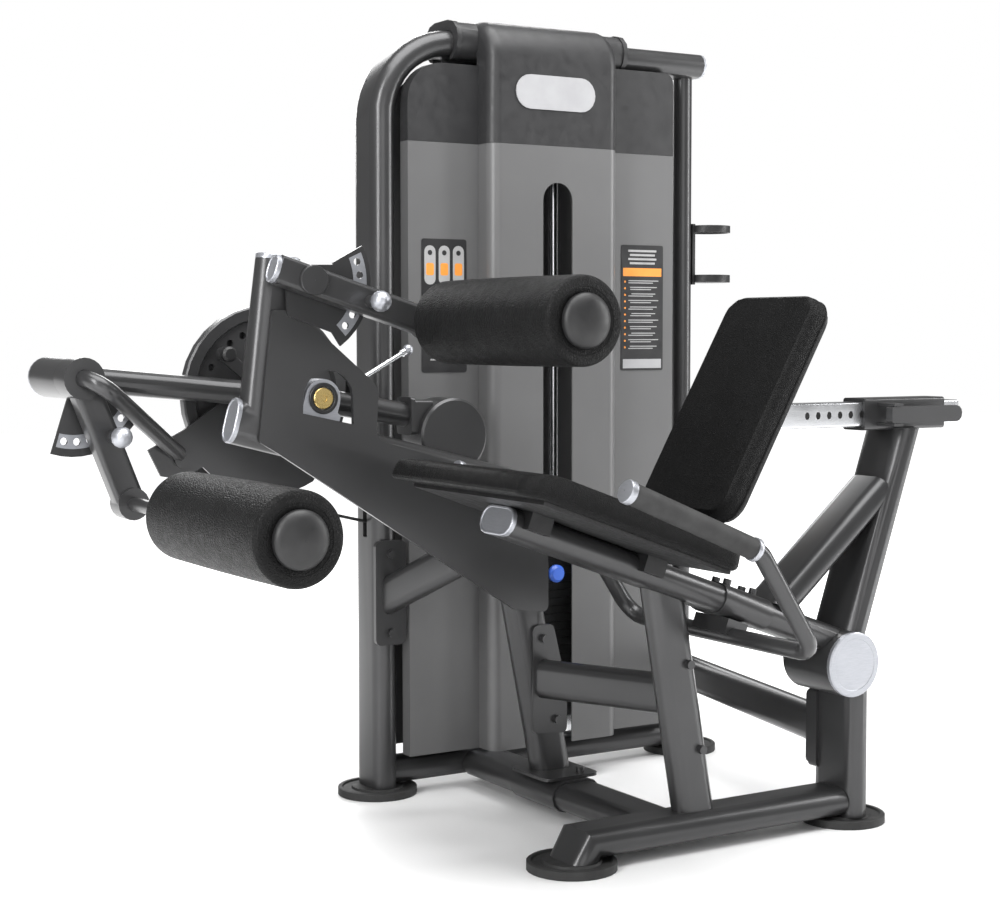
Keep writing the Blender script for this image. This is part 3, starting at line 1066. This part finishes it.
def lower_arm(owner, lower_pin):
    """Ankle arm: turns on the stay tube and carries the lower roller."""
    ring = disc(at(SLEEVE_AXIS, 0.0), 0.036, -0.190, LOW_SECTOR_Y[0] - GAP, Y_AXIS, 24)
    bar = pad_arm_shape(SLEEVE_AXIS, LOWER_ROLLER, LOWER_ARM_Y, 0.050)
    boss = disc(at(LOWER_ROLLER, 0.0), 0.028, LOWER_ARM_Y[0] - 0.004, LOWER_ARM_Y[1], Y_AXIS, 20)
    axle = disc(at(LOWER_ROLLER, 0.0), ROLLER_AXLE_RADIUS, ROLLER_NEAR_Y + 0.012, LOWER_ARM_Y[0] + 0.01,
                Y_AXIS, 20)
    axis_room = disc(at(SLEEVE_AXIS, 0.0), AXLE_RADIUS + GAP, -0.25, -0.10, Y_AXIS, 24)
    pin_place = sector_spot(SLEEVE_AXIS, LOWER_HOLE_RADIUS, -64.0)
    pin_room = disc(pin_place, 0.0060, -0.25, -0.10, Y_AXIS, 12)
    guide = disc(pin_place, 0.0110, LOWER_ARM_Y[0] - 0.014, LOWER_ARM_Y[0] + 0.004, Y_AXIS, 16)
    welded("lower_arm", [ring, bar, boss, axle, guide], owner, DARK, [axis_room, pin_room])
    ball_pin("lower_pin", pin_place.x, pin_place.z, LOW_SECTOR_Y[0] - 0.0008, -0.2350, lower_pin)


def sector_spot(centre, radius, angle):
    turn = math.radians(angle)
    return Vector((centre.x + radius * math.cos(turn), 0.0, centre.z + radius * math.sin(turn)))


def upper_arm(owner, upper_pin):
    """Thigh-pad arm: turns on the pin of the high sector and carries the upper roller."""
    back = (UPPER_PIVOT - UPPER_ROLLER).normalized()
    tail = UPPER_PIVOT + back * 0.062
    bar = pad_arm_shape(tail, UPPER_ROLLER, UPPER_ARM_Y, 0.050)
    boss = disc(at(UPPER_ROLLER, 0.0), 0.028, UPPER_ARM_Y[0] - 0.004, UPPER_ARM_Y[1], Y_AXIS, 20)
    axle = disc(at(UPPER_ROLLER, 0.0), ROLLER_AXLE_RADIUS, ROLLER_NEAR_Y + 0.012, UPPER_ARM_Y[0] + 0.01,
                Y_AXIS, 20)
    spacer_y = ARM_FRAME_Y - TUBE_THIN / 2 - 0.006 - 0.005 - 2 * GAP
    spacer = disc(at(UPPER_PIVOT, 0.0), 0.020, UPPER_ARM_Y[1] - 0.004, spacer_y, Y_AXIS, 24)
    axis_room = disc(at(UPPER_PIVOT, 0.0), 0.0084, -0.40, -0.30, Y_AXIS, 16)
    pin_place = sector_spot(UPPER_PIVOT, UPPER_HOLE_RADIUS, -18.0)
    pin_room = disc(pin_place, 0.0060, -0.45, -0.30, Y_AXIS, 12)
    guide = disc(pin_place, 0.0110, UPPER_ARM_Y[0] - 0.012, UPPER_ARM_Y[0] + 0.004, Y_AXIS, 16)
    welded("upper_arm", [bar, boss, axle, spacer, guide], owner, DARK, [axis_room, pin_room])
    end_cap("upper_arm_cap", at(tail, (UPPER_ARM_Y[0] + UPPER_ARM_Y[1]) / 2), back, Z_AXIS, 0.050, 0.0398,
            owner)
    ball_pin("upper_pin", pin_place.x, pin_place.z, spacer_y - 0.0005, -0.4050, upper_pin)


def roller(name, axis_point, owner):
    """Foam roller on a hub tube whose near end is a domed cap."""
    near = ROLLER_NEAR_Y
    far = ROLLER_FAR_Y
    foam = [(ROLLER_RADIUS - 0.010, far), (ROLLER_RADIUS - 0.003, far - 0.003), (ROLLER_RADIUS,
                                                                                 far - 0.010),
            (ROLLER_RADIUS, near + 0.010), (ROLLER_RADIUS - 0.003, near + 0.003), (ROLLER_RADIUS - 0.010,
                                                                                   near),
            (0.0203, near), (0.0203, far)]
    solid(name, turned(foam, axis_point, Y_AXIS, 28, ring=True), owner, VINYL)
    bore = ROLLER_AXLE_RADIUS + 0.0004
    core = [(bore, near + 0.010), (bore, far + 0.008), (0.030, far + 0.008), (0.030, far + GAP), (0.0200, far + GAP),
            (0.0200, near - GAP), (0.0440, near - GAP), (0.0440, near - 0.008), (0.0400, near - 0.014),
            (0.0300, near - 0.0195), (0.0160, near - 0.0225)]
    solid(name + "_core", turned(core, axis_point, Y_AXIS, 24), owner, BLACK_PLASTIC)


# ---------------------------------------------------------------- assembly
def build():
    clear_scene()
    frame = pivot("frame_root", (0, 0, 0))
    tower_frame(frame)
    shroud(frame)
    cup_holder(frame)
    feet(frame)
    guide_frame(frame)
    pulley("pulley_low", LOW_PULLEY, frame)
    pulley("pulley_top_left", TOP_PULLEYS[0], frame)
    pulley("pulley_top_right", TOP_PULLEYS[1], frame)
    drive_cable(frame)
    carriage = pivot("carriage_axis", (SLOT_X, 0, 0.450), frame)
    weights(frame, carriage)

    base_frame(frame)
    pivot_frame(frame)
    braces(frame)
    seat_beam(frame)
    rear_frame(frame)
    hub_bracket(frame)
    sector_high(frame)
    seat(frame)
    handles(frame)
    slider = pivot("slide_bar_axis", (0.700, SEAT_Y, BAR_Z), frame)
    lever = pivot("lock_lever_axis", (LOCK_PIVOT_X, LEVER_Y, BAR_Z), frame)
    pin = pivot("lock_pin_axis", (LOCK_PIN_X, LEVER_Y, BAR_Z), frame)
    backrest(slider, lever, pin)

    cam = pivot("cam_axis", PIVOT, frame)
    cam_wheel(cam)
    arm = pivot("movement_arm_axis", PIVOT, cam)
    movement_arm(arm)
    start_plunger(pivot("start_plunger_axis", at(start_hole(), -0.08), arm))
    range_lever(pivot("range_lever_axis", LEVER_PIVOT, arm))
    ankle = pivot("lower_arm_axis", at(SLEEVE_AXIS, -0.165), arm)
    ankle_pin = pivot("lower_pin_axis", at(sector_spot(SLEEVE_AXIS, LOWER_HOLE_RADIUS, -64.0), -0.2), ankle)
    lower_arm(ankle, ankle_pin)
    roller("lower_roller", LOWER_ROLLER, pivot("lower_roller_axis", LOWER_ROLLER, ankle))
    thigh = pivot("upper_arm_axis", at(UPPER_PIVOT, -0.345), frame)
    thigh_pin = pivot("upper_pin_axis", at(sector_spot(UPPER_PIVOT, UPPER_HOLE_RADIUS, -18.0), -0.38),
                      thigh)
    upper_arm(thigh, thigh_pin)
    roller("upper_roller", UPPER_ROLLER, pivot("upper_roller_axis", UPPER_ROLLER, thigh))


build()
